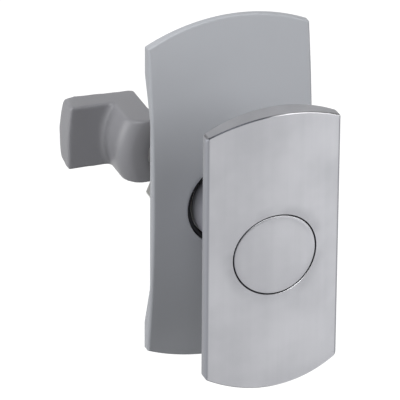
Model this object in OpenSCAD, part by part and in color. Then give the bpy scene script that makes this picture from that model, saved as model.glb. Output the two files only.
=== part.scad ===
// Quarter-turn door handle for a panel: a bowed back plate, a grip on a round neck with a push button in it,
// and a cranked cam behind the panel. The spindle lies along Y, the front faces -Y and +Z is up.
// The origin is on the spindle's axis, in the plane where the back plate's feet meet the panel.

/* [Back plate] */
// Width of the back plate
plate_w = 42; // [38:0.5:50]
// Straight length of the back plate's sides
plate_side = 83.4; // [70:0.2:100]
// Rise of the curved ends above the corners
plate_end_rise = 4.9; // [3:0.1:8]
// Thickness from the panel to the front face at the middle
plate_t = 5.6; // [5.4:0.1:8]
// How far the ends of the front face lie behind its middle
plate_bow = 4.1; // [2:0.1:4.2]
// Height of the plate's middle above the spindle
plate_rise = 2.6; // [0:0.2:5]
// Wall thickness of the plate
plate_wall = 1.5; // [1.2:0.1:2]
// Round of the long front edges
plate_edge_r = 0.8; // [0.6:0.1:1.4]
// Half length of the open arch between the feet
arch_half = 23; // [21:0.5:28]
// Length of the slope from the arch down to each foot
arch_slope = 11.5; // [5:0.5:12]
// Depth of the long edges over the arch, at the middle
arch_edge = 2; // [1.8:0.1:2.5]
// Gap round the neck in the plate's hole
hole_gap = 1.55; // [1.2:0.05:2]
// Distance of the two stiffening ribs from the middle line
rib_x = 9; // [6:0.5:12]
// Thickness of a rib
rib_t = 1.6; // [1.2:0.1:2.5]

/* [Sleeve and nut] */
// Outside of the sleeve's thread
thread_d = 22; // [21:0.5:23]
// Distance across the two flats on the thread
thread_flats = 20.6; // [20:0.1:21]
// Length of the sleeve behind the panel face
sleeve_l = 20; // [18:0.5:21]
// Outside of the sleeve's flange
flange_d = 33; // [31:0.5:34]
// Thickness of the flange
flange_t = 1.8; // [1.6:0.1:2.2]
// Thickness of the panel gasket
gasket_t = 1.2; // [0.8:0.1:1.4]
// Bore of the front chamber in the sleeve
chamber_d = 16; // [15.5:0.1:16.5]
// Thickness of the panel that the nut stands clear of
panel_t = 1.5; // [1:0.5:4]
// Distance across the flats of the nut
nut_af = 30; // [28:0.5:32]
// Thickness of the nut
nut_t = 7; // [4:0.5:8]
// Angle past level at which the nut came tight
nut_turn = 2.5; // [0:0.5:30]
// Thickness of the toothed washer
tooth_washer_t = 1; // [0.6:0.1:1.5]
// Teeth of the toothed washer
tooth_count = 14; // [8:1:18]

/* [Grip] */
// Width of the grip
grip_w = 34.6; // [31:0.2:40]
// Straight length of the grip's sides
grip_side = 65.9; // [50:0.1:80]
// Rise of the curved ends above the corners
grip_end_rise = 4.3; // [2:0.1:6]
// Thickness of the grip at its long edges
grip_edge = 3; // [2.5:0.1:4]
// Height of the front face's crown above the long edges
grip_crown = 2; // [1.2:0.1:2.5]
// Round of the grip's long edges
grip_edge_r = 0.9; // [0.4:0.1:1.2]
// Height of the grip's middle above the spindle
grip_rise = 0.6; // [0:0.1:2]
// Room for fingers between the back plate and the grip
finger_gap = 22.2; // [18:0.2:26]
// Diameter of the neck
neck_d = 20.4; // [19.5:0.1:21]
// Flare of the neck where it meets the grip
neck_flare = 3.2; // [2.5:0.1:4]

/* [Button] */
// Diameter of the button
button_d = 21.4; // [20:0.2:22]
// Ring gap round the button
button_gap = 0.25; // [0.15:0.05:0.4]
// Travel of the button
button_travel = 2.2; // [1.9:0.1:2.4]
// Thickness of the button's head at its middle
button_head = 2.6; // [2.2:0.1:3]
// Outside of the button's hollow stem
button_stem_d = 14.6; // [14:0.1:15]
// Diameter of the plunger
plunger_d = 4; // [3.6:0.1:4.2]
// Wire of the button spring
spring_wire = 1; // [0.7:0.1:1.1]
// Turns of the button spring
spring_turns = 6; // [4:1:8]

/* [Spindle and lock] */
// Diameter of the spindle
spindle_d = 10; // [9.6:0.1:10.4]
// Distance across the flats of the spindle's square end
square_af = 8; // [7.4:0.1:8.2]
// Diameter of the pin that holds the spindle in the neck
spindle_pin_d = 2; // [1.6:0.1:2.2]
// Thickness of the notched lock ring
lock_ring_t = 2.7; // [2.5:0.1:3.2]
// Depth of its notches
notch_depth = 1.7; // [1.2:0.1:1.8]
// Width of the spring leaf
leaf_w = 4; // [3:0.1:4.2]
// Thickness of the spring leaf
leaf_t = 0.5; // [0.3:0.1:0.7]
// Angle that the handle turns through
turn_angle = 90; // [60:5:100]

/* [Cam] */
// Width of the cam
cam_w = 17.3; // [15:0.1:19]
// Reach of the cam's tip from the spindle
cam_reach = 26.6; // [24:0.1:35]
// Distance from the panel face to the front of the cam's hub
cam_stand = 25.6; // [25:0.1:28]
// Thickness of the cam's hub
cam_hub_t = 6.5; // [5:0.1:8]
// How far the tip's front face lies behind the hub's front face
cam_crank = 12.1; // [10:0.1:16]
// Radius of the tip's slightly curved end
cam_end_r = 75; // [25:1:120]
// Thickness of the tip at its long edges
cam_tip_t = 6.3; // [4:0.1:8]
// Rounding of the tip's back
cam_tip_bulge = 0.9; // [0.4:0.1:2.5]
// Angle at which the tip's back runs out, so that its end is thicker
cam_splay = 4; // [0:0.5:6]
// Radius of the hub from the spindle
cam_hub_r = 17.2; // [15:0.1:19]
// Round of the hub's front edge
cam_round = 4.3; // [2:0.1:6]
// Fillet where the hub's wall meets the tip
cam_fillet = 1.2; // [0.6:0.1:2.5]
// Angle that the cam's tip stands above level at rest
cam_tilt = 2.4; // [0:0.2:5]
// Diameter of the cam screw
cam_screw_d = 5; // [4:0.5:5]

/* [Hidden] */

$fn = 96;
over = 1;
seat_gap = 0.05;
running_gap = 0.05;
slide_gap = 0.1;
free_gap = 0.3;
edge_step = 0.2;

// Stations along the spindle, from the panel towards the front
plate_front = -plate_t;
flange_back = -gasket_t;
flange_front = flange_back - flange_t;
slip_washer_t = 0.4;
neck_end = flange_front - slip_washer_t - 2 * seat_gap;
grip_back = plate_front - finger_gap;
grip_edge_y = grip_back - grip_edge;
face_y = grip_edge_y - grip_crown;
head_back = face_y + button_head;
recess_floor = head_back + button_travel + free_gap;
well_depth = 13;
well_floor = recess_floor + well_depth;
web_t = 2;
spindle_front = well_floor + web_t;

// Stations along the spindle, from the panel towards the back
spigot_l = 5;
spigot_end = neck_end + spigot_l;
lock_ring_front = spigot_end + free_gap + slide_gap;
lock_ring_back = lock_ring_front + lock_ring_t;
leaf_y = lock_ring_back + free_gap;
rivet_t = 0.7;
plunger_end = leaf_y + leaf_t + rivet_t;
bush_front = plunger_end + button_travel + 2 * free_gap;
bush_flange_t = 1;
chamber_end = bush_front + bush_flange_t;
stop_rim_h = 2;
stop_rim_back = sleeve_l + stop_rim_h;
stop_washer_t = 1.6;
stop_washer_y = stop_rim_back + free_gap;
cam_hub_back = cam_stand + cam_hub_t;
cam_tip_front = cam_stand + cam_crank;
cam_tip_edge = cam_tip_front + cam_tip_t;
cam_back = cam_tip_edge + cam_tip_bulge;
cam_washer_t = 1;
clamp_gap = 0.2;
spindle_back = cam_hub_back - clamp_gap;
square_front = stop_rim_back + seat_gap;

// Radii of the curved outlines
function arc_r(half_chord, rise) = (half_chord * half_chord + rise * rise) / (2 * rise);
plate_half_h = plate_side / 2 + plate_end_rise;
plate_end_r = arc_r(plate_w / 2, plate_end_rise);
plate_bow_r = arc_r(plate_half_h, plate_bow);
grip_end_r = arc_r(grip_w / 2, grip_end_rise);
grip_crown_r = arc_r(grip_w / 2, grip_crown);
cam_bulge_r = arc_r(cam_w / 2, cam_tip_bulge);

// Screws that hold the sleeve's flange to the back plate
plate_screw_d = 2.5;
plate_screw_head_d = 4.6;
plate_screw_head_t = 1.2;
plate_screw_r = (thread_d + flange_d) / 4;
plate_screw_cover = 0.8;
plate_screw_end = plate_front + plate_screw_cover;

plate_hole_d = neck_d + 2 * hole_gap;
boss_wall = 2;
boss_d = flange_d + 2 * seat_gap + 2 * boss_wall;
bush_wall = 1.6;
bush_d = spindle_d + 2 * bush_wall;
lock_notches = 4;
tab_half = 40;
tab_gap = 2;
tab_mid = 180;
plunger_bore_d = plunger_d + 2 * running_gap;
rivet_d = plunger_d - 4 * slide_gap;
leaf_hole_d = 0.68 * plunger_d;
leaf_reach = chamber_d / 2 - 2 * free_gap;
leaf_tip_l = leaf_reach - spindle_d / 2 - 2 * free_gap;
leaf_slot = leaf_w + 2 * slide_gap;
pin_wall = 1.2;
pin_x = plunger_bore_d / 2 + spindle_pin_d / 2 + pin_wall;
screw_head_d = 1.85 * cam_screw_d;
screw_head_t = 0.6 * cam_screw_d;
cam_screw_l = 10;
cam_screw_end = cam_hub_back + cam_washer_t - cam_screw_l;
button_stem_wall = 1.2;
spring_room_d = button_stem_d - 2 * button_stem_wall;

// A round bar along Y
module bar(d, y0, y1) {
    translate([0, y0, 0])
        rotate([-90, 0, 0])
            cylinder(d = d, h = y1 - y0);
}

// A flat ring round Y
module ring(d_out, d_in, y0, y1) {
    difference() {
        bar(d_out, y0, y1);
        bar(d_in, y0 - over, y1 + over);
    }
}

// A turned shape round Y, from a profile of radius and station
module turned() {
    rotate([-90, 0, 0])
        rotate_extrude()
            children();
}

// Part of a ring between two angles, counted from +X towards +Z
module sector(d_out, d_in, y0, y1, from, to) {
    translate([0, y0, 0])
        rotate([-90, 0, 0])
            rotate([0, 0, -to])
                rotate_extrude(angle = to - from)
                    translate([d_in / 2, 0])
                        square([(d_out - d_in) / 2, y1 - y0]);
}

// A square bar along Y, turned to the cam's angle
module square_bar(af, y0, y1) {
    rotate([0, cam_tilt, 0])
        translate([-af / 2, y0, -af / 2])
            cube([af, y1 - y0, af]);
}

// Space above or below a level, for an outline whose two ends are arcs
module half_space(up, size) {
    translate([-size, -size, up > 0 ? 0 : -2 * size])
        cube([2 * size, 2 * size, 2 * size]);
}

// Body between two arc ends, its front rims cut at 45 degrees
module arc_ends(radius, half_h, front, edge, back, cut) {
    deep = edge - front;
    for (up = [1, -1])
        intersection() {
            translate([0, 0, up * (half_h - radius)])
                turned()
                    polygon([[0, front], [radius - cut - deep, front], [radius, edge + cut],
                        [radius, back], [0, back]]);
            half_space(up, 3 * half_h);
        }
}

// Slab bowed about a level axis, with its long front edges rounded
module bowed_slab(width, radius, depth, edge_r) {
    span = 30;
    translate([0, radius, 0])
        rotate([0, 90, 0])
            rotate([0, 0, -90 - span / 2])
                rotate_extrude(angle = span, $fn = 360)
                    rounded_front(width, radius, depth, edge_r);
}

// Profile of the bowed slab: radius across, width up
module rounded_front(width, radius, depth, edge_r) {
    translate([radius - depth, -width / 2])
        square([depth - edge_r, width]);
    translate([radius - depth, edge_r - width / 2])
        square([depth, width - 2 * edge_r]);
    for (side = [1, -1])
        translate([radius - edge_r, side * (width / 2 - edge_r)])
            circle(r = edge_r);
}

// Outer skin of the back plate
module plate_skin() {
    edge = plate_front + plate_bow * pow(plate_side / 2 / plate_half_h, 2);
    intersection() {
        translate([0, plate_front, 0])
            bowed_slab(plate_w, plate_bow_r, plate_t + over, plate_edge_r);
        arc_ends(plate_end_r, plate_half_h, plate_front - over, edge, 0, plate_edge_r * 0.6);
    }
}

// Hollow behind the skin, inside the rim
module plate_hollow() {
    intersection() {
        translate([0, plate_front + plate_bow_r, 0])
            rotate([0, 90, 0])
                cylinder(r = plate_bow_r - plate_wall, h = plate_w - 2 * plate_wall, center = true,
                    $fn = 360);
        arc_ends(plate_end_r - plate_wall, plate_half_h - plate_wall, plate_front - over, plate_front, over,
            plate_wall);
    }
}

// Opening under each long side, between the feet
module plate_arch() {
    arch_y = plate_front + arch_edge;
    translate([-plate_w, 0, 0])
        rotate([90, 0, 90])
            linear_extrude(2 * plate_w)
                polygon([[over, -arch_half - arch_slope], [0, -arch_half - arch_slope], [arch_y, -arch_half],
                    [arch_y, arch_half], [0, arch_half + arch_slope], [over, arch_half + arch_slope]]);
}

// Cast plate: a thin bowed wall with a rim, a boss for the flange and two ribs
module back_plate() {
    rib_end = plate_side / 2;
    rib_drop = 1;
    root_y = plate_front + plate_wall / 2;
    color([0.56, 0.57, 0.59])
        difference() {
            union() {
                translate([0, 0, plate_rise])
                    difference() {
                        plate_skin();
                        plate_hollow();
                        plate_arch();
                    }
                intersection() {
                    translate([0, 0, plate_rise])
                        plate_skin();
                    union() {
                        bar(boss_d, root_y, 0);
                        for (side = [1, -1])
                            translate([side * rib_x - rib_t / 2, root_y, plate_rise - rib_end])
                                cube([rib_t, -rib_drop - root_y, 2 * rib_end]);
                    }
                }
            }
            bar(plate_hole_d, plate_front - over, over);
            bar(flange_d + 2 * seat_gap, flange_front, over);
            at_plate_screws()
                bar(plate_screw_d + 2 * seat_gap, plate_screw_end - seat_gap, 0);
        }
}

// Places of the two flange screws, above and below the spindle
module at_plate_screws() {
    for (up = [1, -1])
        translate([0, 0, up * plate_screw_r])
            children();
}

// Flat-sided thread, flange and chambers; part of its back rim is cut away for the stop washer's tab
module sleeve() {
    root_y = (flange_front + flange_back) / 2;
    color([0.72, 0.72, 0.73])
        difference() {
            union() {
                bar(flange_d, flange_front, flange_back);
                intersection() {
                    bar(thread_d, root_y, stop_rim_back);
                    translate([-thread_flats / 2, root_y - over, -thread_d])
                        cube([thread_flats, stop_rim_back - root_y + 2 * over, 2 * thread_d]);
                }
            }
            bar(chamber_d, flange_front - over, chamber_end);
            bar(bush_d + 2 * seat_gap, flange_front, stop_rim_back + over);
            sector(thread_d + 2 * over, bush_d, sleeve_l, stop_rim_back + over,
                tab_mid - turn_angle - tab_half - tab_gap, tab_mid + tab_half + tab_gap);
            at_plate_screws()
                flange_screw(slide_gap);
        }
}

// One countersunk screw, head in the flange's back face
module flange_screw(gap) {
    bar(plate_screw_d + 2 * gap, plate_screw_end, flange_back + (gap > 0 ? over : 0));
    translate([0, flange_back - plate_screw_head_t, 0])
        rotate([-90, 0, 0])
            cylinder(d1 = plate_screw_d + 2 * gap, d2 = plate_screw_head_d + 2 * gap, h = plate_screw_head_t);
}

// The two flange screws, with a cross slot in each head
module plate_screws() {
    slot_l = 2.2;
    slot_t = 0.5;
    slot_depth = 0.6;
    color([0.78, 0.77, 0.72])
        at_plate_screws()
            difference() {
                flange_screw(0);
                for (turn = [0, 90])
                    rotate([0, turn, 0])
                        translate([-slot_l / 2, flange_back - slot_depth, -slot_t / 2])
                            cube([slot_l, over, slot_t]);
            }
}

// Rubber ring between the flange and the panel
module panel_gasket() {
    color([0.10, 0.10, 0.10])
        ring(flange_d - 2 * edge_step, thread_d + 2 * free_gap, flange_back, 0);
}

// Washer with a row of notches that leave teeth round its rim
module tooth_washer() {
    tooth_reach = 3.8;
    rim_d = thread_d + 2 * tooth_reach;
    notch = 1.8;
    color([0.75, 0.74, 0.68])
        difference() {
            ring(rim_d, thread_d + 2 * edge_step, panel_t, panel_t + tooth_washer_t);
            for (i = [0 : tooth_count - 1])
                rotate([0, i * 360 / tooth_count, 0])
                    translate([rim_d / 2 - notch, panel_t - over, -notch / 2])
                        cube([2 * notch, tooth_washer_t + 2 * over, notch]);
        }
}

// Hex nut with both faces chamfered
module hex_nut() {
    corner_d = nut_af / cos(30);
    front = panel_t + tooth_washer_t;
    bevel = 0.9;
    reach = corner_d / 2 + slide_gap;
    color([0.82, 0.82, 0.80])
        difference() {
            intersection() {
                translate([0, front, 0])
                    rotate([-90, 0, 0])
                        rotate([0, 0, -nut_turn])
                            cylinder(d = corner_d, h = nut_t, $fn = 6);
                turned()
                    polygon([[0, front], [nut_af / 2, front], [reach, front + bevel],
                        [reach, front + nut_t - bevel], [nut_af / 2, front + nut_t], [0, front + nut_t]]);
            }
            bar(thread_d + 2 * seat_gap, front - over, front + nut_t + over);
        }
}

// Dark sealing ring at the bottom of the gap round the neck
module neck_seal() {
    seal_t = 1.6;
    color([0.05, 0.05, 0.05])
        ring(plate_hole_d - 2 * seat_gap, neck_d + 2 * free_gap, flange_front - seal_t, flange_front);
}

// Thin washer that the end of the neck turns on
module slip_washer() {
    back = flange_front - seat_gap;
    color([0.92, 0.92, 0.88])
        ring(neck_d - 2 * edge_step, chamber_d + 2 * free_gap, back - slip_washer_t, back);
}

// Ring pressed into the sleeve, with notches in its back face for the spring leaf
module lock_ring() {
    notch_w = leaf_w + 2 * free_gap;
    bore_gap = 0.4;
    color([0.55, 0.56, 0.58])
        difference() {
            ring(chamber_d - 2 * seat_gap, spindle_d + 2 * bore_gap, lock_ring_front, lock_ring_back);
            for (i = [0 : lock_notches - 1])
                rotate([0, i * 360 / lock_notches, 0])
                    translate([0, lock_ring_back - notch_depth, -notch_w / 2])
                        cube([chamber_d, lock_ring_t, notch_w]);
        }
}

// Plain bearing with a flange at the front
module bush() {
    color([0.90, 0.89, 0.84])
        difference() {
            union() {
                bar(chamber_d - 2 * seat_gap, bush_front, chamber_end - seat_gap);
                bar(bush_d, bush_front, sleeve_l);
            }
            bar(spindle_d + 2 * running_gap, bush_front - over, sleeve_l + over);
        }
}

// Crowned plate with arc ends, before the neck and the button's recess
module grip_plate() {
    intersection() {
        translate([0, 0, -grip_side])
            linear_extrude(2 * grip_side)
                grip_section();
        arc_ends(grip_end_r, grip_side / 2 + grip_end_rise, face_y - over, face_y, grip_back, grip_edge_r);
    }
}

// Section of the grip across its width: a crowned front and rounded corners
module grip_section() {
    intersection() {
        translate([0, face_y + grip_crown_r])
            circle(r = grip_crown_r, $fn = 360);
        union() {
            translate([grip_edge_r - grip_w / 2, face_y])
                square([grip_w - 2 * grip_edge_r, grip_back - face_y]);
            translate([-grip_w / 2, grip_edge_y + grip_edge_r])
                square([grip_w, grip_back - grip_edge_y - 2 * grip_edge_r]);
            for (side = [1, -1])
                for (y = [grip_edge_y + grip_edge_r, grip_back - grip_edge_r])
                    translate([side * (grip_w / 2 - grip_edge_r), y])
                        circle(r = grip_edge_r);
        }
    }
}

// Round neck with a flared root and a thinner spigot that turns in the sleeve
module neck() {
    flare_r = neck_d / 2 + neck_flare;
    bar(neck_d, grip_back - seat_gap, neck_end);
    bar(chamber_d - 2 * running_gap, neck_end - over, spigot_end);
    turned()
        difference() {
            translate([0, grip_back - seat_gap])
                square([flare_r, neck_flare]);
            translate([flare_r, grip_back + neck_flare])
                circle(r = neck_flare);
        }
}

// Grip and neck as one casting, bored for the button, its spring and the spindle
module grip() {
    color([0.76, 0.76, 0.80])
        difference() {
            union() {
                translate([0, 0, grip_rise])
                    grip_plate();
                neck();
            }
            bar(button_d + 2 * button_gap, face_y - over, recess_floor);
            bar(button_stem_d + 2 * running_gap, face_y, well_floor);
            bar(plunger_bore_d, face_y, spigot_end + over);
            bar(spindle_d + 2 * seat_gap, spindle_front - seat_gap, spigot_end + over);
            spindle_pin_shape(seat_gap);
        }
}

// Pin that lies across the spindle's side, inside the spigot
module spindle_pin_shape(gap) {
    pin_half = sqrt(pow(chamber_d / 2 - 2 * running_gap, 2) - pow(pin_x + spindle_pin_d / 2, 2));
    translate([pin_x, (neck_end + spigot_end) / 2, -pin_half - (gap > 0 ? over : 0)])
        cylinder(d = spindle_pin_d + 2 * gap, h = 2 * (pin_half + (gap > 0 ? over : 0)));
}

// The pin on its own
module spindle_pin() {
    color([0.60, 0.60, 0.62])
        spindle_pin_shape(0);
}

// Spindle with a bore for the plunger, a slot for the leaf and a square back end
module spindle() {
    color([0.70, 0.70, 0.72])
        difference() {
            union() {
                bar(spindle_d, spindle_front, square_front);
                intersection() {
                    bar(spindle_d, square_front - over, spindle_back);
                    square_bar(square_af, square_front - over, spindle_back);
                }
            }
            bar(plunger_bore_d, spindle_front - over, bush_front);
            translate([-spindle_d, leaf_y - 2 * free_gap, -leaf_slot / 2])
                cube([2 * spindle_d, bush_front - free_gap - leaf_y + 2 * free_gap, leaf_slot]);
            bar(cam_screw_d, cam_screw_end - free_gap, spindle_back + over);
            spindle_pin_shape(seat_gap);
        }
}

// Washer on the square, with a tab that runs between the ends of the sleeve's rim
module stop_washer() {
    tab_back = stop_washer_y + stop_washer_t;
    rim_step = 0.4;
    tab_room = 1.3;
    color([0.66, 0.67, 0.69])
        difference() {
            union() {
                bar(thread_d - 2 * rim_step, stop_washer_y, tab_back);
                sector(thread_d - 4 * free_gap, bush_d + 2 * tab_room, sleeve_l + free_gap,
                    stop_washer_y + stop_washer_t / 2, tab_mid - tab_half, tab_mid + tab_half);
            }
            square_bar(square_af + 2 * seat_gap, stop_washer_y - over, tab_back + over);
        }
}

// Ring that fills the room between the stop washer and the cam
module cam_spacer() {
    front = stop_washer_y + stop_washer_t + seat_gap;
    rim_step = 0.8;
    color([0.66, 0.67, 0.69])
        ring(cam_w - 2 * rim_step, spindle_d + 2 * slide_gap, front, cam_stand - seat_gap);
}

// Outline of the cam from the front: a strip with a slightly curved end
module cam_outline() {
    intersection() {
        translate([cam_end_r - cam_reach, 0])
            circle(r = cam_end_r, $fn = 360);
        square([4 * cam_reach, cam_w], center = true);
    }
}

// Outline of the cam from above: hub in front, tip set back, open behind the hub for the screw
module cam_profile() {
    screw_room = 2.8;
    step_x = screw_head_d / 2 + screw_room;
    far = 2 * cam_reach;
    polygon([[far, cam_stand - over], [far, cam_hub_back], [-step_x, cam_hub_back],
        [-step_x, cam_back + far], [-far, cam_back + far], [-far, cam_stand - over]]);
}

// Hub of the cam as a turned form: rounded front edge, straight wall and a fillet at its foot
module cam_hub_form() {
    foot_r = cam_hub_r + cam_fillet;
    turned()
        difference() {
            union() {
                polygon([[0, cam_stand], [cam_hub_r - cam_round, cam_stand],
                    [cam_hub_r, cam_stand + cam_round],
                    [cam_hub_r, cam_tip_front - cam_fillet], [foot_r, cam_tip_front],
                    [foot_r, cam_tip_front + over], [0, cam_tip_front + over]]);
                translate([cam_hub_r - cam_round, cam_stand + cam_round])
                    circle(r = cam_round);
            }
            translate([foot_r, cam_tip_front - cam_fillet])
                circle(r = cam_fillet);
        }
}

// Tip of the cam behind the hub, with a rounded back that runs out towards the end
module cam_tip() {
    tip_mid = (cam_hub_r + cam_reach) / 2;
    intersection() {
        translate([-2 * cam_reach, cam_tip_front, -cam_w / 2])
            cube([2 * cam_reach, cam_back, cam_w]);
        translate([-tip_mid, cam_back - cam_bulge_r, 0])
            rotate([0, 90, -cam_splay])
                cylinder(r = cam_bulge_r, h = 4 * cam_reach, center = true, $fn = 180);
    }
}

// Cranked cam with a square hole in its hub
module cam() {
    color([0.50, 0.50, 0.51])
        difference() {
            rotate([0, cam_tilt, 0])
                intersection() {
                    translate([0, cam_stand - over, 0])
                        rotate([-90, 0, 0])
                            linear_extrude(cam_back)
                                cam_outline();
                    translate([0, 0, -cam_w])
                        linear_extrude(2 * cam_w)
                            cam_profile();
                    union() {
                        cam_hub_form();
                        cam_tip();
                    }
                }
            square_bar(square_af + 2 * seat_gap, cam_stand - over, cam_hub_back + over);
        }
}

// Plain washer under the head of the cam screw
module cam_washer() {
    rim = 1.6;
    bore_gap = 0.25;
    color([0.78, 0.77, 0.72])
        ring(screw_head_d + 2 * rim, cam_screw_d + 2 * bore_gap, cam_hub_back, cam_hub_back + cam_washer_t);
}

// Pan-head screw with a hex socket
module cam_screw() {
    head_y = cam_hub_back + cam_washer_t;
    color([0.78, 0.77, 0.72])
        difference() {
            union() {
                bar(cam_screw_d - 2 * seat_gap, cam_screw_end, head_y + over);
                bar(screw_head_d, head_y, head_y + screw_head_t);
            }
            translate([0, head_y + screw_head_t / 3, 0])
                rotate([-90, 0, 0])
                    cylinder(d = 0.7 * cam_screw_d, h = screw_head_t, $fn = 6);
        }
}

// Button with the grip's own crown on its face and a hollow stem for the spring
module button() {
    stem_end = recess_floor + well_depth * 0.5;
    plunger_boss_wall = 1.6;
    plunger_boss_l = 4;
    plunger_boss_d = plunger_d + 2 * plunger_boss_wall;
    plunger_boss_end = head_back + plunger_boss_l;
    color([0.78, 0.78, 0.81])
        difference() {
            union() {
                intersection() {
                    bar(button_d, face_y, head_back);
                    translate([0, face_y + grip_crown_r, 0])
                        cylinder(r = grip_crown_r, h = 2 * button_d, center = true, $fn = 360);
                }
                ring(button_stem_d, spring_room_d, head_back - seat_gap, stem_end);
                bar(plunger_boss_d, head_back - seat_gap, plunger_boss_end);
            }
            bar(plunger_d + 2 * seat_gap, head_back, plunger_boss_end + over);
        }
}

// Rod from the button to the leaf, riveted over behind it
module plunger() {
    color([0.70, 0.70, 0.72]) {
        bar(plunger_d, head_back + seat_gap, leaf_y);
        bar(leaf_hole_d - 2 * seat_gap, leaf_y - seat_gap, plunger_end);
        bar(rivet_d, leaf_y + leaf_t, plunger_end);
    }
}

// Spring-steel leaf through the spindle, its two bent tips in the lock ring's notches
module lock_leaf() {
    tip_front = lock_ring_back - notch_depth + free_gap;
    color([0.45, 0.46, 0.50])
        difference() {
            union() {
                translate([-leaf_reach, leaf_y, -leaf_w / 2])
                    cube([2 * leaf_reach, leaf_t, leaf_w]);
                for (side = [0, 180])
                    rotate([0, side, 0])
                        translate([leaf_reach - leaf_tip_l, tip_front, -leaf_w / 2])
                            cube([leaf_tip_l, leaf_y + leaf_t - tip_front, leaf_w]);
            }
            bar(leaf_hole_d, leaf_y - over, leaf_y + leaf_t + over);
        }
}

// Compression spring round the plunger, swept along a helix with flat end turns
module button_spring() {
    sides = 8;
    steps = 12;
    mean_r = (spring_room_d - spring_wire) / 2 - free_gap;
    rings = spring_turns * steps;
    start = head_back + seat_gap + spring_wire / 2;
    length = well_floor - seat_gap - spring_wire / 2 - start;
    function along(i) = start + length * min(1, max(0, (i / steps - 0.75) / (spring_turns - 1.5)));
    function spot(i, j) =
        let (a = 360 * i / steps, b = 360 * j / sides, r = mean_r + spring_wire / 2 * cos(b))
        [r * cos(a), along(i) + spring_wire / 2 * sin(b), r * sin(a)];
    points = [for (i = [0 : rings]) for (j = [0 : sides - 1]) spot(i, j)];
    walls = [for (i = [0 : rings - 1]) for (j = [0 : sides - 1])
        [i * sides + j, i * sides + (j + 1) % sides, (i + 1) * sides + (j + 1) % sides, (i + 1) * sides + j]];
    first = [for (j = [sides - 1 : -1 : 0]) j];
    last = [for (j = [0 : sides - 1]) rings * sides + j];
    color([0.62, 0.63, 0.66])
        polyhedron(points, concat([first], walls, [last]), convexity = 10);
}

back_plate();
sleeve();
plate_screws();
panel_gasket();
tooth_washer();
hex_nut();
neck_seal();
slip_washer();
lock_ring();
bush();
grip();
spindle();
spindle_pin();
stop_washer();
cam_spacer();
cam();
cam_washer();
cam_screw();
button();
plunger();
lock_leaf();
button_spring();
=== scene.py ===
import math

import bmesh
import bpy
import numpy as np
from mathutils import Matrix, Vector


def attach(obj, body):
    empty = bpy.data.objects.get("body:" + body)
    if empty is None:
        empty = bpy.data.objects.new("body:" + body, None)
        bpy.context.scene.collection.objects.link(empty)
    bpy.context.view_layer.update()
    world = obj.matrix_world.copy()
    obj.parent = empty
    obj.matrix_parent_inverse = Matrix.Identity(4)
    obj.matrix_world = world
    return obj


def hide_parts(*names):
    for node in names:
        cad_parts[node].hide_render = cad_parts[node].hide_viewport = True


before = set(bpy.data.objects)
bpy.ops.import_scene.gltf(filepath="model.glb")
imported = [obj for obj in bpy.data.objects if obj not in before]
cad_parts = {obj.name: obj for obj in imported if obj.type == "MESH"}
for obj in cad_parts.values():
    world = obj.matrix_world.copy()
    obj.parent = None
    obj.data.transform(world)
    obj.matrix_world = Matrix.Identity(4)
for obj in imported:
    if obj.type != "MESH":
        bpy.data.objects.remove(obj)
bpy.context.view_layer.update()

# Back plate
# A zinc casting with a bowed front, a thin wall and a rim that stands on the panel at both ends. A boss round
# its hole takes the sleeve's flange and four ribs stiffen it; it is powder coated in satin grey.
PLATE = {"width": 42.0, "side": 83.4, "rise": 4.9, "level": 2.6, "corner": 0.45}
PLATE_ROUND = {"sides": 0.75, "ends": 0.4}
PLATE_FRONT = -5.6
PLATE_WALL = 1.5
PLATE_HOLE = 11.75
HOLE_CHAMFER = 0.3
HOLE_CHAMFER_DEPTH = 0.35
BOW_RADIUS = 266.9
ARCH_ENDS = [23, 34.5]
ARCH_BACK = PLATE_FRONT + 2
LEAST_RIM = 0.25
FOOT_CHAMFER = 0.2
BOSS_RADIUS = 18.55
FLANGE_FRONT = -3.0
BOSS_SECTION = [(BOSS_RADIUS, -0.3), (18.25, 0), (16.75, 0), (16.55, -0.2), (16.55, FLANGE_FRONT),
                (PLATE_HOLE, FLANGE_FRONT)]
RIB_PLACES = [(-9, 1), (9, 1), (-9, -1), (9, -1)]
RIB_SPAN = (15.9, 39.6)
RIB_LEAVES_BOSS = 17
RIB_SINK = 0.3
RIB_HALF = 0.8
RIB_TOP = [(-RIB_HALF, -1.4), (-0.65, -1.1), (-0.4, -1), (0.4, -1), (0.65, -1.1), (RIB_HALF, -1.4)]
PAINT_DARK, PAINT_PALE = (0.402, 0.415, 0.443, 1), (0.426, 0.439, 0.467, 1)
SIDE_POINTS, CORNER_POINTS, END_POINTS = 60, 5, 30
LEAST_CORNER = 0.15


def circle(radius, turn):
    """Points (x, z) at a radius, which may differ from point to point, and at angles."""
    return np.column_stack([radius * np.cos(turn), radius * np.sin(turn)])


def arc(middle, radius, start, end, count):
    return middle + circle(radius, np.linspace(start, end, count, endpoint=False))


def outline(shape, inset):
    """Points (x, z) round a plate with straight sides, arc ends and rounded corners, moved in from its edge."""
    half = shape["width"] / 2
    radius = (half ** 2 + shape["rise"] ** 2) / (2 * shape["rise"])
    low = shape["side"] / 2 + shape["rise"] - radius
    corner = max(shape["corner"] - inset, LEAST_CORNER)
    x = half - inset - corner
    z = low + math.sqrt((radius - inset - corner) ** 2 - x ** 2)
    lean = math.atan2(z - low, x)
    upper = np.concatenate([
        np.column_stack([np.full(SIDE_POINTS, x + corner), np.linspace(-z, z, SIDE_POINTS, endpoint=False)]),
        arc((x, z), corner, 0, lean, CORNER_POINTS),
        arc((0, low), radius - inset, lean, math.pi - lean, END_POINTS),
        arc((-x, z), corner, math.pi - lean, math.pi, CORNER_POINTS),
    ])
    return np.concatenate([upper, -upper]) + [0, shape["level"]]


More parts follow.
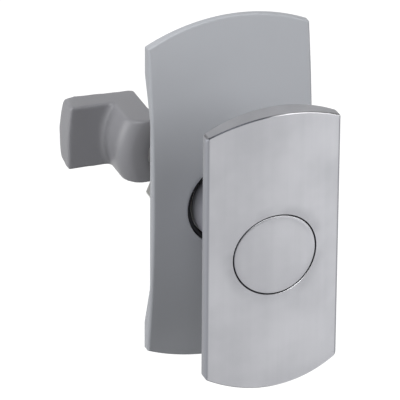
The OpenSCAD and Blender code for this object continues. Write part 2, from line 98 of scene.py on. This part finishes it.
def rounded(shape, radii, lean):
    """Points (x, z) on a rim's rounding at an angle from its face, and how far each lies behind the face."""
    share = np.concatenate([np.zeros(SIDE_POINTS), np.linspace(0, 1, CORNER_POINTS),
                            np.ones(END_POINTS), np.linspace(1, 0, CORNER_POINTS)])
    size = radii["sides"] + (radii["ends"] - radii["sides"]) * np.tile(share, 2)
    edge = outline(shape, 0)
    inner = outline(shape, radii["sides"])
    flat = edge + (inner - edge) * (size / radii["sides"] * (1 - math.sin(lean)))[:, None]
    return flat, size * (1 - math.cos(lean))


def ring(flat, y):
    """Points (x, z) set at a depth y, which may differ from point to point."""
    return np.column_stack([flat[:, 0], np.broadcast_to(y, len(flat)), flat[:, 1]])


def turned(section, turn):
    """Rings of a turned shape, from the radius and depth of each corner of its section."""
    return [ring(circle(radius, turn), y) for radius, y in section]


def between(first, last, count):
    """Point sets evenly spaced from one to another, without those two."""
    return [first + (last - first) * t for t in np.linspace(0, 1, count + 2)[1:-1]]


def place(name, mesh, sharp):
    """The mesh as an object of the scene, its faces turned outwards and its edges shaded by their angle."""
    work = bmesh.new()
    work.from_mesh(mesh)
    bmesh.ops.recalc_face_normals(work, faces=work.faces)
    work.to_mesh(mesh)
    work.free()
    mesh.shade_smooth()
    mesh.set_sharp_from_angle(angle=math.radians(sharp))
    piece = bpy.data.objects.new(name, mesh)
    bpy.context.collection.objects.link(piece)
    piece.modifiers.new("even shading", "WEIGHTED_NORMAL").keep_sharp = True
    return piece


def loft(name, rings, closed=True, sharp=38):
    """Object with walls through rings of points in millimetres; an open loft is closed by a cap at both ends."""
    count = len(rings[0])
    points = np.concatenate(rings)
    follow = [(k, k + 1) for k in range(len(rings) - 1)] + ([(len(rings) - 1, 0)] if closed else [])
    faces = [
        (a * count + i, a * count + (i + 1) % count, b * count + (i + 1) % count, b * count + i)
        for a, b in follow
        for i in range(count)
    ]
    if not closed:
        for first in (0, len(points) - count):
            faces += [(first + i, first + (i + 1) % count, len(points)) for i in range(count)]
            points = np.concatenate([points, [points[first:first + count].mean(axis=0)]])
    mesh = bpy.data.meshes.new(name)
    mesh.from_pydata((points / 1000).tolist(), [], faces)
    return place(name, mesh, sharp)


def bow(flat):
    """Depth of the plate's front at points (x, z)."""
    return PLATE_FRONT + BOW_RADIUS - np.sqrt(BOW_RADIUS ** 2 - (flat[:, 1] - PLATE["level"]) ** 2)


def foot(flat):
    """Depth of the rim's back: on the panel near both ends, arched in between."""
    return np.interp(np.abs(flat[:, 1] - PLATE["level"]), ARCH_ENDS, [ARCH_BACK, 0])


def hollow(flat):
    """Depth of the plate's back inside the rim."""
    return np.minimum(bow(flat) + PLATE_WALL, foot(flat) - LEAST_RIM)


edge = outline(PLATE, 0)
turn = np.arctan2(edge[:, 1], edge[:, 0])
rings = turned([(PLATE_HOLE, PLATE_FRONT + HOLE_CHAMFER_DEPTH)], turn)
face = circle(PLATE_HOLE + HOLE_CHAMFER, turn)
for flat in [face] + between(face, rounded(PLATE, PLATE_ROUND, 0)[0], 14):
    rings.append(ring(flat, bow(flat)))
for lean in np.linspace(0, math.pi / 2, 8):
    flat, deep = rounded(PLATE, PLATE_ROUND, lean)
    room = 0.9 * (foot(flat) - bow(flat) - LEAST_RIM)
    rings.append(ring(flat, bow(flat) + np.minimum(deep, room)))
for inset, drop in ((0, FOOT_CHAMFER), (FOOT_CHAMFER, 0),
                    (PLATE_WALL - FOOT_CHAMFER, 0), (PLATE_WALL, FOOT_CHAMFER)):
    flat = outline(PLATE, inset)
    rings.append(ring(flat, foot(flat) - drop))
wall = outline(PLATE, PLATE_WALL + 0.02)
boss = circle(BOSS_RADIUS, turn)
for flat in [wall] + between(wall, boss, 10) + [boss]:
    rings.append(ring(flat, hollow(flat)))
shell = loft("plate_shell", rings + turned(BOSS_SECTION, turn))
shell.modifiers.clear()

ribs = []
for number, (x, end) in enumerate(RIB_PLACES):
    rings = []
    for z in np.linspace(*RIB_SPAN, 16):
        spot = np.array([[x, PLATE["level"] + end * z if z > RIB_LEAVES_BOSS else end * z]])
        base = hollow(spot)[0] - RIB_SINK
        section = [(-RIB_HALF, base)] + RIB_TOP + [(RIB_HALF, base)]
        rings.append(np.array([(x + dx, y, spot[0, 1]) for dx, y in section]))
    ribs.append(loft("plate_rib_%d" % number, rings, closed=False))
    join = shell.modifiers.new("rib", "BOOLEAN")
    join.operation = "UNION"
    join.solver = "MANIFOLD"
    join.object = ribs[-1]
whole = bpy.data.meshes.new_from_object(shell.evaluated_get(bpy.context.evaluated_depsgraph_get()))
for spare in [shell] + ribs:
    bpy.data.objects.remove(spare)
plate = place("back_plate_casting", whole, 38)


class Tone:
    """A value, colour or vector in a finish; sums and products of values add their own nodes."""

    def __init__(self, tree, socket=None):
        self.tree = tree
        self.socket = socket

    def node(self, kind, settings=None, sockets=None, out=0):
        """One output of a new node with its settings made and its sockets filled or linked."""
        made = self.tree.nodes.new(kind)
        for key, value in (settings or {}).items():
            setattr(made, key, value)
        for key, value in (sockets or {}).items():
            if isinstance(value, Tone):
                self.tree.links.new(value.socket, made.inputs[key])
            else:
                made.inputs[key].default_value = value
        return Tone(self.tree, made.outputs[out] if made.outputs else None)

    def maths(self, operation, *values):
        return self.node("ShaderNodeMath", {"operation": operation}, dict(enumerate(values)))

    def __add__(self, other):
        return self.maths("ADD", self, other)

    def __rsub__(self, other):
        return self.maths("SUBTRACT", other, self)

    def __mul__(self, other):
        return self.maths("MULTIPLY", self, other)

    def __abs__(self):
        return self.maths("ABSOLUTE", self)

    __radd__ = __add__
    __rmul__ = __mul__

    def part(self, axis):
        """This vector along one axis."""
        return self.node("ShaderNodeSeparateXYZ", None, {"Vector": self}, out=axis)

    def ramp(self, start, end):
        """A smooth step from 0 to 1 between two values."""
        limits = {"Value": self, "From Min": start, "From Max": end}
        return self.node("ShaderNodeMapRange", {"interpolation_type": "SMOOTHSTEP"}, limits)

    def blend(self, low, high):
        """A colour between two others, with this value as the share of the second."""
        return self.node("ShaderNodeMix", {"data_type": "RGBA"}, {0: self, 6: low, 7: high}, out=2)

    def noise(self, scale, detail=2.0):
        """Noise laid out by this vector."""
        return self.node("ShaderNodeTexNoise", None, {"Vector": self, "Scale": scale, "Detail": detail})

    def drawn_out(self, scale):
        """This vector scaled along each axis, for a pattern that runs in one direction."""
        return self.node("ShaderNodeMapping", None, {"Vector": self, "Scale": scale})

    def bump(self, height):
        """A normal from this value as relief of that height, in metres."""
        return self.node("ShaderNodeBump", None, {"Height": self, "Distance": height})


def finish(name):
    """A new material and the point coordinates that its patterns are laid out by."""
    material = bpy.data.materials.new(name)
    material.use_nodes = True
    material.node_tree.nodes.clear()
    return material, Tone(material.node_tree).node("ShaderNodeTexCoord", out="Object")


def surface(start, sockets):
    """The sockets of a finish joined to its output."""
    shader = start.node("ShaderNodeBsdfPrincipled", None, sockets)
    start.node("ShaderNodeOutputMaterial", None, {"Surface": shader})


paint, at = finish("satin_grey_powder_coat")
peel = at.noise(scale=1400.0, detail=3.0)
surface(at, {
    "Base Color": at.noise(scale=70.0).blend(PAINT_DARK, PAINT_PALE),
    "Roughness": 0.44 + 0.08 * peel,
    "Specular IOR Level": 0.2,
    "Normal": peel.bump(height=0.00001),
})
plate.data.materials.clear()
plate.data.materials.append(paint)
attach(plate, "mount")
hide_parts("back_plate")

# Sleeve
# A bare zinc casting with a flange in front and a flat-sided thread behind, which passes through the panel.
# Part of its back rim is cut away for the tab of the stop washer.
FLANGE_BACK = -1.2
FLANGE_SECTION = [(8, FLANGE_FRONT + 0.4), (8.4, FLANGE_FRONT), (16.2, FLANGE_FRONT),
                  (16.5, FLANGE_FRONT + 0.3), (16.5, FLANGE_BACK - 0.3), (16.2, FLANGE_BACK)]
THREAD_RADIUS = 10.98
THREAD_ROOT = 10.15
THREAD_PITCH = 1.5
THREAD_START = -0.6
THREAD_RUN_OUT = 0.5
HALF_FLATS = 10.3
SLEEVE_END = 22.0
CUT_END = 20.0
CUT_FROM, CUT_TO = 47.9, 222.1
SLEEVE_BORE = 6.65
BUSH_SEAT = 8
BUSH_SEAT_DEPTH = 9.9
ZINC_DARK, ZINC_PALE = (0.40, 0.40, 0.41, 1), (0.50, 0.50, 0.50, 1)


def thread(turn, y):
    """Radius of the thread at an angle and a depth, its crests a little flattened."""
    wave = np.abs(2 * ((y / THREAD_PITCH - turn / (2 * math.pi)) % 1) - 1)
    return THREAD_ROOT + (THREAD_RADIUS - THREAD_ROOT) * np.clip(1.25 * wave - 0.125, 0, 1)


def flat_sided(radius, turn):
    """Points (x, z) round the sleeve, with its left and right sides cut flat."""
    flat = circle(radius, turn)
    return np.column_stack([np.clip(flat[:, 0], -HALF_FLATS, HALF_FLATS), flat[:, 1]])


degrees = np.sort(np.concatenate([np.arange(0, 360, 2.0), [CUT_FROM, CUT_TO]]))
turn = np.radians(degrees)
back_end = np.where((degrees > CUT_FROM) & (degrees < CUT_TO), CUT_END, SLEEVE_END)
rings = turned(FLANGE_SECTION, turn)
rings.append(ring(flat_sided(10.4, turn), FLANGE_BACK))
for share in np.linspace(0, 1, 130):
    y = THREAD_START + share * (back_end - THREAD_RUN_OUT - THREAD_START)
    rings.append(ring(flat_sided(thread(turn, y), turn), y))
rings.append(ring(flat_sided(10.0, turn), back_end))
rings += turned([(SLEEVE_BORE + 0.35, back_end), (SLEEVE_BORE, back_end - 0.35), (SLEEVE_BORE, BUSH_SEAT_DEPTH),
                 (BUSH_SEAT, BUSH_SEAT_DEPTH)], turn)
sleeve = loft("threaded_sleeve", rings)

zinc, at = finish("bare_zinc_casting")
skin = at.noise(scale=420.0, detail=4.0)
surface(at, {
    "Base Color": skin.blend(ZINC_DARK, ZINC_PALE),
    "Metallic": 1.0,
    "Roughness": 0.36 + 0.14 * skin,
    "Normal": skin.bump(height=0.00001),
})
sleeve.data.materials.append(zinc)
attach(sleeve, "mount")
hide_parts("sleeve")

# Plate screws
# Two countersunk steel screws, bright zinc plated, driven through the sleeve's flange into the plate's boss.
PLATING_DARK, PLATING_PALE = (0.56, 0.56, 0.545, 1), (0.64, 0.64, 0.62, 1)

plated, at = finish("bright_zinc_plating")
streak = at.noise(scale=260.0, detail=3.0)
surface(at, {
    "Base Color": streak.blend(PLATING_DARK, PLATING_PALE),
    "Metallic": 1.0,
    "Roughness": 0.22 + 0.12 * streak,
})


def carry(coating, *names):
    """CAD nodes that keep their shape and take a finish."""
    for name in names:
        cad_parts[name].data.materials.clear()
        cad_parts[name].data.materials.append(coating)


carry(plated, "plate_screws")

# Panel gasket
# A flat ring punched from black rubber, which the flange presses against the outside of the panel.
RUBBER_DARK, RUBBER_PALE = (0.008, 0.008, 0.011, 1), (0.018, 0.018, 0.022, 1)
ALL_ROUND = np.linspace(0, 2 * math.pi, 144, endpoint=False)


def flat_ring(outer, inner, front, back, soft):
    """Section of a flat ring whose four edges are broken."""
    return [(outer - soft, front), (outer - soft * 0.3, front + soft * 0.3), (outer, front + soft),
            (outer, back - soft), (outer - soft * 0.3, back - soft * 0.3), (outer - soft, back),
            (inner + soft, back), (inner, back - soft), (inner, front + soft), (inner + soft, front)]


section = flat_ring(outer=16.3, inner=11.3, front=-1.2, back=0, soft=0.2)
gasket = loft("rubber_gasket", turned(section, ALL_ROUND))
rubber, at = finish("black_rubber")
bloom = at.noise(scale=500.0, detail=4.0)
surface(at, {
    "Base Color": bloom.blend(RUBBER_DARK, RUBBER_PALE),
    "Roughness": 0.62 + 0.12 * bloom,
})
gasket.data.materials.append(rubber)
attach(gasket, "mount")
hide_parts("panel_gasket")

# Tooth washer and hex nut
# Pressed and turned from steel and zinc plated: the washer's teeth are twisted to bite into the panel
# and the nut, with both faces chamfered, pulls the plate against it.
TEETH = 14
TOOTH_EDGES = (0.14, 0.86)
TOOTH_TWIST = 0.275
TOOTH_ROOT = 13.2
WASHER_FRONT, WASHER_BACK = 1.65, 2.35
WASHER_SECTION = [(12.9, WASHER_FRONT, 0), (TOOTH_ROOT, WASHER_FRONT, 0), (14.75, WASHER_FRONT, 1),
                  (14.75, WASHER_BACK, 1), (TOOTH_ROOT, WASHER_BACK, 0), (12.9, WASHER_BACK, 0),
                  (11.4, WASHER_BACK, 0), (11.25, WASHER_BACK - 0.15, 0), (11.25, WASHER_FRONT + 0.15, 0),
                  (11.4, WASHER_FRONT, 0)]
NUT_HALF_WIDTH = 15.0
NUT_TURNED_BY = 2.5
NUT_FRONT, NUT_BACK = 2.5, 9.5
NUT_FACE = 14.4
NUT_BORE = 11.06

teeth = np.linspace(0, 2 * math.pi, 280, endpoint=False)
wave = (teeth * TEETH / (2 * math.pi)) % 1
tooth = (wave > TOOTH_EDGES[0]) & (wave < TOOTH_EDGES[1])
twist = np.where(tooth, (wave - 0.5) * TOOTH_TWIST, 0.0)
rings = []
for radius, y, tip in WASHER_SECTION:
    reach = np.where(tooth, radius, np.minimum(radius, TOOTH_ROOT - 0.02 * tip))
    rings.append(ring(circle(reach, teeth), y + tip * twist))
washer = loft("tooth_washer_pressing", rings, sharp=30)

hexes = np.linspace(0, 2 * math.pi, 192, endpoint=False)
across = NUT_HALF_WIDTH / np.cos(((hexes - math.radians(NUT_TURNED_BY)) % (math.pi / 3)) - math.pi / 6)
drop = (across - 14.7) * 0.36
nut = loft("hex_nut_turned", turned([
    (11.3, NUT_FRONT), (NUT_FACE, NUT_FRONT), (across, NUT_FRONT + drop), (across, NUT_BACK - drop),
    (NUT_FACE, NUT_BACK), (11.9, NUT_BACK), (NUT_BORE, NUT_BACK - 0.8), (NUT_BORE, NUT_FRONT + 0.3),
], hexes), sharp=24)
for piece, node in ((washer, "tooth_washer"), (nut, "hex_nut")):
    piece.data.materials.append(plated)
    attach(piece, "mount")
    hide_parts(node)

# Neck seal
# A moulded lip of black rubber in the plate's hole, which closes the gap round the turning neck.
SEAL_SECTION = [(11.6, -3.0), (11.7, -3.2), (11.7, -4.2), (11.5, -4.5), (11.2, -4.6), (10.8, -4.4),
                (10.55, -4.0), (10.5, -3.6), (10.5, -3.1), (10.6, -3.0)]

seal = loft("neck_seal_lip", turned(SEAL_SECTION, ALL_ROUND))
seal.data.materials.append(rubber)
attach(seal, "mount")
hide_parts("neck_seal")

# Slip washer and bush
# Turned from natural acetal: the neck stands on the washer and the spindle turns in the bush,
# which is pushed into its seat in the sleeve.
ACETAL_DARK, ACETAL_PALE = (0.76, 0.75, 0.70, 1), (0.82, 0.81, 0.76, 1)

acetal, at = finish("natural_acetal")
milk = at.noise(scale=120.0)
surface(at, {
    "Base Color": milk.blend(ACETAL_DARK, ACETAL_PALE),
    "Roughness": 0.4 + 0.1 * milk,
})
carry(acetal, "slip_washer", "bush")

# Lock ring
# A hardened steel ring with notches, pressed into the sleeve; the leaf on the plunger drops into its notches.
STEEL_DARK, STEEL_PALE = (0.26, 0.27, 0.29, 1), (0.36, 0.37, 0.40, 1)

steel, at = finish("oiled_spring_steel")
film = at.noise(scale=300.0, detail=3.0)
surface(at, {
    "Base Color": film.blend(STEEL_DARK, STEEL_PALE),
    "Metallic": 1.0,
    "Roughness": 0.26 + 0.14 * film,
})
carry(steel, "lock_ring")

# Grip and neck
# One zinc casting, crowned across its width, with arc ends and a round neck; satin chrome, brushed lengthwise.
# It is bored from the front for the button and its spring, and from behind for the spindle.
GRIP = {"width": 34.6, "side": 65.9, "rise": 4.3, "level": 0.6, "corner": 1.3}
FRONT_ROUND = {"sides": 0.9, "ends": 0.35}
BACK_ROUND = {"sides": 0.8, "ends": 0.45}
FACE = -32.8
GRIP_BACK = -27.8
CROWN_RADIUS = 75.8
RECESS = 10.82
RECESS_FLOOR = -27.7
MOUTH_CHAMFER = 0.05
MOUTH_CHAMFER_DEPTH = 0.06
NECK_FOOT = 13.4
NECK_FILLET = 3.2
NECK_SECTION = [(10.2, -3.8), (9.9, -3.5), (8.1, -3.5), (7.95, -3.35), (7.95, 1.2), (7.65, 1.5), (5.35, 1.5),
                (5.05, 1.2), (5.05, -12.75), (2.05, -12.75), (2.05, -14.7), (7.35, -14.7), (7.35, RECESS_FLOOR)]
CHROME_DULL, CHROME_BRIGHT = (0.408, 0.411, 0.435, 1), (0.500, 0.503, 0.529, 1)
# Painted shade: a darker chrome for the ring round the button.
CHROME_PAINTED_SHADE = (0.290, 0.293, 0.312, 1)
# Painted shade: a darker chrome for the grip's left and right flanks.
CHROME_FLANK_PAINTED_SHADE = (0.262, 0.268, 0.292, 1)
CHROME_NECK = (0.300, 0.302, 0.332, 1)
# Painted light for the rounded rims: a dark reflection and a highlight.
RIM_PAINTED_DARK_REFLECTION, RIM_PAINTED_HIGHLIGHT = (0.075, 0.078, 0.090, 1), (0.88, 0.88, 0.90, 1)


def crown(flat):
    """Depth of the crowned front at points (x, z)."""
    return FACE + CROWN_RADIUS - np.sqrt(CROWN_RADIUS ** 2 - flat[:, 0] ** 2)


edge = outline(GRIP, 0)
turn = np.arctan2(edge[:, 1], edge[:, 0])
mouth = circle(RECESS, turn)
face = circle(RECESS + MOUTH_CHAMFER, turn)
rings = [ring(mouth, RECESS_FLOOR), ring(mouth, crown(mouth) + MOUTH_CHAMFER_DEPTH)]
for flat in [face] + between(face, rounded(GRIP, FRONT_ROUND, 0)[0], 12):
    rings.append(ring(flat, crown(flat)))
for lean in np.linspace(0, math.pi / 2, 7):
    flat, deep = rounded(GRIP, FRONT_ROUND, lean)
    rings.append(ring(flat, crown(flat) + deep))
for lean in np.linspace(math.pi / 2, 0, 6):
    flat, deep = rounded(GRIP, BACK_ROUND, lean)
    rings.append(ring(flat, GRIP_BACK - deep))
rings += [ring(part, GRIP_BACK) for part in between(flat, circle(NECK_FOOT, turn), 8)]
rings += turned([
    (NECK_FOOT - NECK_FILLET * math.sin(lean), GRIP_BACK + NECK_FILLET * (1 - math.cos(lean)))
    for lean in np.linspace(0, math.pi / 2, 10)
], turn)
grip = loft("grip_casting", rings + turned(NECK_SECTION, turn))

chrome, at = finish("satin_chrome")
across, along = at.part("X"), at.part("Z")
facing = at.node("ShaderNodeTexCoord", out="Normal")
brush = at.drawn_out((2600.0, 2600.0, 30.0)).noise(scale=1.0)
streaks = at.drawn_out((420.0, 420.0, 14.0)).noise(scale=1.0, detail=3.0)
haze = (0.8 * at.noise(scale=70.0, detail=3.0) + 0.2 * streaks).ramp(0.22, 0.78)
reach = across * across + along * along
# Painted shade: an uneven darker ring on the face and the button's edge, round the button's gap.
near_button = reach.ramp(0.0080 ** 2, 0.0107 ** 2) * (1 - reach.ramp(0.0113 ** 2, 0.0142 ** 2))
shade_round_button = near_button * at.noise(scale=110.0, detail=3.0).ramp(0.35, 0.65) * 0.40
upright = abs(facing.part("Z"))
# Painted shade: the flanks and their roundings take the darker chrome, by the way they face.
flank_shade_mask = abs(facing.part("X")).ramp(0.24, 0.60) * (1 - upright.ramp(0.15, 0.60))
neck = at.part("Y").ramp(-0.0276, -0.0255)
# Painted light on the rounded rims, strongest at the grip's arc ends: a painted dark reflection on the left half
# and a painted highlight on the right half.
rim = upright.ramp(0.15, 0.40) * (1 - facing.part("Y").ramp(-0.35, -0.10))
rim = rim * (0.35 + 0.65 * abs(along).ramp(0.020, 0.028))
painted_rim_light = across.ramp(-0.004, 0.004).blend(RIM_PAINTED_DARK_REFLECTION, RIM_PAINTED_HIGHLIGHT)
face_colour = shade_round_button.blend(haze.blend(CHROME_DULL, CHROME_BRIGHT), CHROME_PAINTED_SHADE)
body_colour = neck.blend(flank_shade_mask.blend(face_colour, CHROME_FLANK_PAINTED_SHADE), CHROME_NECK)
surface(at, {
    "Base Color": rim.blend(body_colour, painted_rim_light),
    "Metallic": 1.0,
    "Roughness": 0.38 + 0.10 * brush + 0.20 * neck,
    "Normal": brush.bump(height=0.000004),
})
grip.data.materials.append(chrome)
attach(grip, "handle")
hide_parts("grip")

# Spindle and its pin
# A bare zinc casting that ends in a square for the cam; a steel pin across the neck holds it there.
carry(zinc, "spindle")
carry(steel, "spindle_pin")

# Stop washer and cam spacer
# Plated steel rings on the spindle: the washer has a tab that meets the sleeve's rim at both ends of the
# quarter turn, and the spacer keeps the cam clear of it.
carry(plated, "stop_washer")
section = flat_ring(outer=7.8, inner=5.1, front=23.95, back=25.55, soft=0.25)
spacer = loft("cam_spacer_ring", turned(section, ALL_ROUND))
spacer.data.materials.append(plated)
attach(spacer, "handle")
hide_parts("cam_spacer")

# Cam
# A cranked casting with a rounded hub in front and a thick tip set back, its edges soft from the mould.
# It has a semi-matt grey coating and sits on the spindle's square.
GRAIN_OF_MESH = 0.0003
WELD = 0.000002
SOFTENING = 0.5
ROUNDS_ALL_OVER = 10
ROUNDS_AT_END = 60
COAT_DARK, COAT_PALE = (0.236, 0.236, 0.253, 1), (0.257, 0.257, 0.274, 1)

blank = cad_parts["cam"]
mesh = blank.data.copy()
mesh.transform(blank.matrix_world)
work = bmesh.new()
work.from_mesh(mesh)
bmesh.ops.remove_doubles(work, verts=work.verts, dist=WELD)
work.to_mesh(mesh)
work.free()
cast = bpy.data.objects.new("cam_blank", mesh)
bpy.context.collection.objects.link(cast)
fine = cast.modifiers.new("even mesh", "REMESH")
fine.mode = "VOXEL"
fine.voxel_size = GRAIN_OF_MESH
soft = bpy.data.meshes.new_from_object(cast.evaluated_get(bpy.context.evaluated_depsgraph_get()))
bpy.data.objects.remove(cast)
points = np.array([corner.co for corner in soft.vertices])
pairs = np.array([line.vertices for line in soft.edges])
pairs = np.concatenate([pairs, pairs[:, ::-1]])
near = np.bincount(pairs[:, 0], minlength=len(points))
back = np.interp(points[:, 1], [0.0400, 0.0430], [0, 1]) * np.interp(-points[:, 0], [0.0225, 0.0250], [0, 1])
for share in [SOFTENING] * ROUNDS_ALL_OVER + [SOFTENING * back] * ROUNDS_AT_END:
    mean = np.column_stack([np.bincount(pairs[:, 0], points[pairs[:, 1], axis]) / near for axis in range(3)])
    points += (mean - points) * np.reshape(share, (-1, 1))
soft.vertices.foreach_set("co", points.ravel())
cam = place("cam_casting", soft, 60)

coat, at = finish("semi_matt_grey_coating")
grain = at.noise(scale=1700.0, detail=3.0)
surface(at, {
    "Base Color": at.noise(scale=110.0).blend(COAT_DARK, COAT_PALE),
    "Roughness": 0.40 + 0.10 * grain,
    "Normal": grain.bump(height=0.00001),
})
cam.data.materials.clear()
cam.data.materials.append(coat)
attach(cam, "handle")
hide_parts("cam")

# Cam washer and screw
# A plain washer and a pan-head screw with a hex socket, both zinc plated, hold the cam on the spindle.
SCREW_SHANK = [(2.1, 23.1), (2.42, 23.5), (2.42, 33.1)]
HEAD_RADIUS = 4.62
HEAD_SIDE = [(4.4, 33.1), (4.6, 33.3), (HEAD_RADIUS, 34.6)]
DOME_WIDTH, DOME_HEIGHT = 1.4, 1.48
DOME_START = 34.6
HALF_KEY = 1.5
KEY_FLOOR = 34.1

section = flat_ring(outer=6.225, inner=2.75, front=32.1, back=33.1, soft=0.2)
washer = loft("cam_washer_ring", turned(section, ALL_ROUND))
hexes = np.linspace(0, 2 * math.pi, 72, endpoint=False)
key = HALF_KEY / np.cos((hexes % (math.pi / 3)) - math.pi / 6)
dome = [
    (HEAD_RADIUS - DOME_WIDTH * (1 - math.cos(lean)), DOME_START + DOME_HEIGHT * math.sin(lean))
    for lean in np.linspace(0.2, math.pi / 2, 8)
]
head_top = DOME_START + DOME_HEIGHT
socket = [(key + 0.25, head_top), (key, head_top - 0.23), (key, KEY_FLOOR)]
screw = loft("cam_screw_turned", turned(SCREW_SHANK + HEAD_SIDE + dome + socket, hexes), closed=False)
for piece, node in ((washer, "cam_washer"), (screw, "cam_screw")):
    piece.data.materials.append(plated)
    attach(piece, "handle")
    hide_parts(node)

# Button
# Cast and finished like the grip, with the grip's own crown on its face and a fine chamfer round its rim.
# A hollow stem behind the head holds the spring and a boss holds the plunger.
BUTTON = 10.55
BUTTON_FACE = 10.35
BUTTON_EDGE = [(0.14, 0.03), (0.05, 0.1), (0.0, 0.25)]
BUTTON_BACK = -30.2
STEM_SECTION = [(BUTTON, -30.4), (10.35, BUTTON_BACK), (7.3, BUTTON_BACK), (7.3, -21.5), (7.0, -21.2),
                (6.2, -21.2), (6.1, -21.3), (6.1, BUTTON_BACK), (3.6, BUTTON_BACK), (3.6, -26.4),
                (3.4, -26.2), (2.15, -26.2), (2.05, -26.3), (2.05, BUTTON_BACK)]

turn = np.linspace(0, 2 * math.pi, 192, endpoint=False)
rings = []
face_rings = [(radius, 0) for radius in np.linspace(0.4, BUTTON_FACE, 16)]
edge_rings = [(BUTTON - inset, deep) for inset, deep in BUTTON_EDGE]
for radius, deep in face_rings + edge_rings:
    flat = circle(radius, turn)
    rings.append(ring(flat, crown(flat) + deep))
button = loft("button_casting", rings + turned(STEM_SECTION, turn), closed=False)
button.data.materials.append(chrome)
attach(button, "button")
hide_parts("button")

# Plunger, lock leaf and spring
# A steel rod pressed into the button carries the spring-steel leaf on its end, and the coil spring round it
# pushes the button out.
carry(steel, "plunger", "lock_leaf", "button_spring")

# Floor, light and camera
# A floor that shows white to the camera and in the metal, with the handle above it. Soft lamps stand in front,
# above on the left, at the left, behind and low on the right, and a long lens looks from the upper left.
FLOOR_LEVEL = -0.2
FLOOR_HALF = 6
FLOOR_GREY = (0.12, 0.12, 0.12, 1)
GLOW_OFF, GLOW_ON = (0, 0, 0, 1), (0.96, 0.96, 0.96, 1)
ROOM_GREY = (0.03, 0.03, 0.03, 1)
LAMPS = [
    ("front_lamp", 5.2, 0.7, (0.39, -0.95, 0.62)),
    ("upper_left_lamp", 11.8, 0.7, (-0.36, -0.52, 1.02)),
    ("left_lamp", 5.9, 0.6, (-0.975, 0.137, 0.17)),
    ("back_lamp", 5.8, 1.4, (0.19, 1.08, 0.48)),
    ("low_right_lamp", 2.2, 0.5, (0.74, -0.74, -0.04)),
]

corners = [(x * FLOOR_HALF, y * FLOOR_HALF, FLOOR_LEVEL) for x, y in ((-1, -1), (1, -1), (1, 1), (-1, 1))]
floor_mesh = bpy.data.meshes.new("floor")
floor_mesh.from_pydata(corners, [], [(0, 1, 2, 3)])
floor = bpy.data.objects.new("floor", floor_mesh)
bpy.context.collection.objects.link(floor)
pale, at = finish("pale_floor")
camera_ray, glossy_ray, clear_ray = [
    at.node("ShaderNodeLightPath", out=kind)
    for kind in ("Is Camera Ray", "Is Glossy Ray", "Is Transmission Ray")
]
surface(at, {
    "Base Color": FLOOR_GREY,
    "Roughness": 0.9,
    "Emission Color": (camera_ray + glossy_ray + clear_ray).blend(GLOW_OFF, GLOW_ON),
    "Emission Strength": 1.0,
})
floor_mesh.materials.append(pale)

for name, power, size, spot in LAMPS:
    light = bpy.data.lights.new(name, "AREA")
    light.energy = power
    light.size = size
    lamp = bpy.data.objects.new(name, light)
    lamp.location = spot
    lamp.rotation_euler = (-Vector(spot)).to_track_quat("-Z", "Y").to_euler()
    bpy.context.collection.objects.link(lamp)

world = bpy.data.worlds.new("studio")
world.use_nodes = True
world.node_tree.nodes.clear()
start = Tone(world.node_tree)
sky = start.node("ShaderNodeBackground", None, {"Color": ROOM_GREY})
start.node("ShaderNodeOutputWorld", None, {"Surface": sky})
bpy.context.scene.world = world

lens = bpy.data.cameras.new("camera")
lens.lens = 464.8
lens.sensor_width = 36
camera = bpy.data.objects.new("camera", lens)
camera.matrix_world = Matrix((
    (0.92763645, 0.17584780, -0.32949684, -0.42209492),
    (-0.37343480, 0.45108294, -0.81059893, -1.02264149),
    (0.00608837, 0.87498670, 0.48410867, 0.61012413),
    (0, 0, 0, 1),
))
bpy.context.collection.objects.link(camera)
bpy.context.scene.camera = camera
bpy.context.scene.view_settings.view_transform = "Standard"
